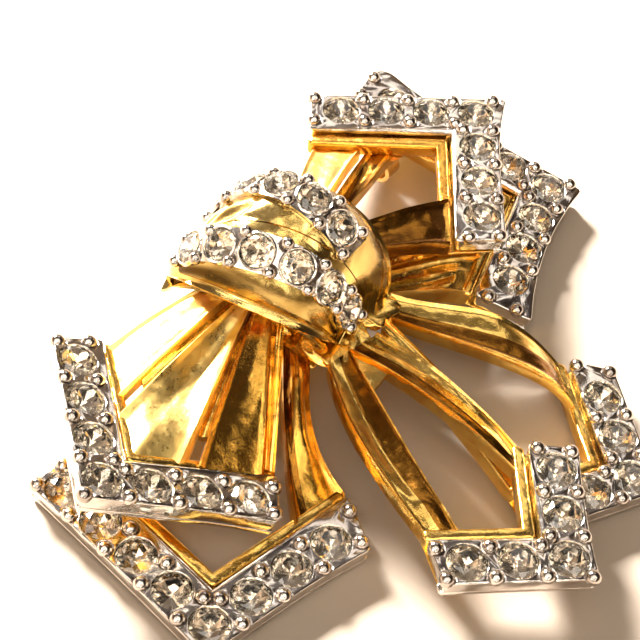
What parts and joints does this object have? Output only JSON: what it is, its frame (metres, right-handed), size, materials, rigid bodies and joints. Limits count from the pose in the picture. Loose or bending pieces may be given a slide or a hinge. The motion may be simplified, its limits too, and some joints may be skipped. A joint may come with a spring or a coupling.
{
  "type": "bow brooch",
  "caption": "Bow brooch with pleated gold loops and tails, paved angular settings of clear round stones and a domed knot, with a pin on the back.",
  "frame": {"origin": "centre of the bounding box at the table, under the back of the brooch", "axes": "+X along the bow from its left loops to its right loops, +Y towards the top of the bow, +Z out of the front, away from the wearer"},
  "size_m": [0.0492, 0.0375, 0.0133],
  "materials": {
    "gold_plate": "polished gold plating on cast metal",
    "rhodium_plate": "bright rhodium plating with small raised beads",
    "cut_stone": "clear faceted stone with a pale champagne tint",
    "pin_metal": "plain gold plated wire and posts"
  },
  "bodies": {
    "root": {"upper_loop_left": "gold_plate", "upper_loop_right": "gold_plate", "lower_loop_left": "gold_plate", "lower_loop_right": "gold_plate", "tail_left": "gold_plate", "tail_right": "gold_plate", "knot_left_wrap": "gold_plate", "knot_right_wrap": "gold_plate", "upper_setting_left": "rhodium_plate", "upper_setting_right": "rhodium_plate", "lower_setting_left": "rhodium_plate", "lower_setting_right": "rhodium_plate", "tail_setting_left": "rhodium_plate", "tail_setting_right": "rhodium_plate", "knot_left_strip": "rhodium_plate", "knot_right_strip": "rhodium_plate", "knot_left_stones": "cut_stone", "knot_right_stones": "cut_stone", "upper_left_stone_1": "cut_stone", "upper_left_stone_2": "cut_stone", "upper_left_stone_3": "cut_stone", "upper_left_stone_4": "cut_stone", "upper_left_stone_5": "cut_stone", "upper_left_stone_6": "cut_stone", "upper_left_stone_7": "cut_stone", "upper_right_stone_1": "cut_stone", "upper_right_stone_2": "cut_stone", "upper_right_stone_3": "cut_stone", "upper_right_stone_4": "cut_stone", "upper_right_stone_5": "cut_stone", "upper_right_stone_6": "cut_stone", "upper_right_stone_7": "cut_stone", "lower_left_stone_1": "cut_stone", "lower_left_stone_2": "cut_stone", "lower_left_stone_3": "cut_stone", "lower_left_stone_4": "cut_stone", "lower_left_stone_5": "cut_stone", "lower_left_stone_6": "cut_stone", "lower_left_stone_7": "cut_stone", "lower_left_stone_8": "cut_stone", "lower_right_stone_1": "cut_stone", "lower_right_stone_2": "cut_stone", "lower_right_stone_3": "cut_stone", "lower_right_stone_4": "cut_stone", "lower_right_stone_5": "cut_stone", "lower_right_stone_6": "cut_stone", "lower_right_stone_7": "cut_stone", "lower_right_stone_8": "cut_stone", "tail_left_stone_1": "cut_stone", "tail_left_stone_2": "cut_stone", "tail_left_stone_3": "cut_stone", "tail_left_stone_4": "cut_stone", "tail_left_stone_5": "cut_stone", "tail_right_stone_1": "cut_stone", "tail_right_stone_2": "cut_stone", "tail_right_stone_3": "cut_stone", "tail_right_stone_4": "cut_stone", "tail_right_stone_5": "cut_stone", "pin_back": "pin_metal"}
  },
  "joints": []
}
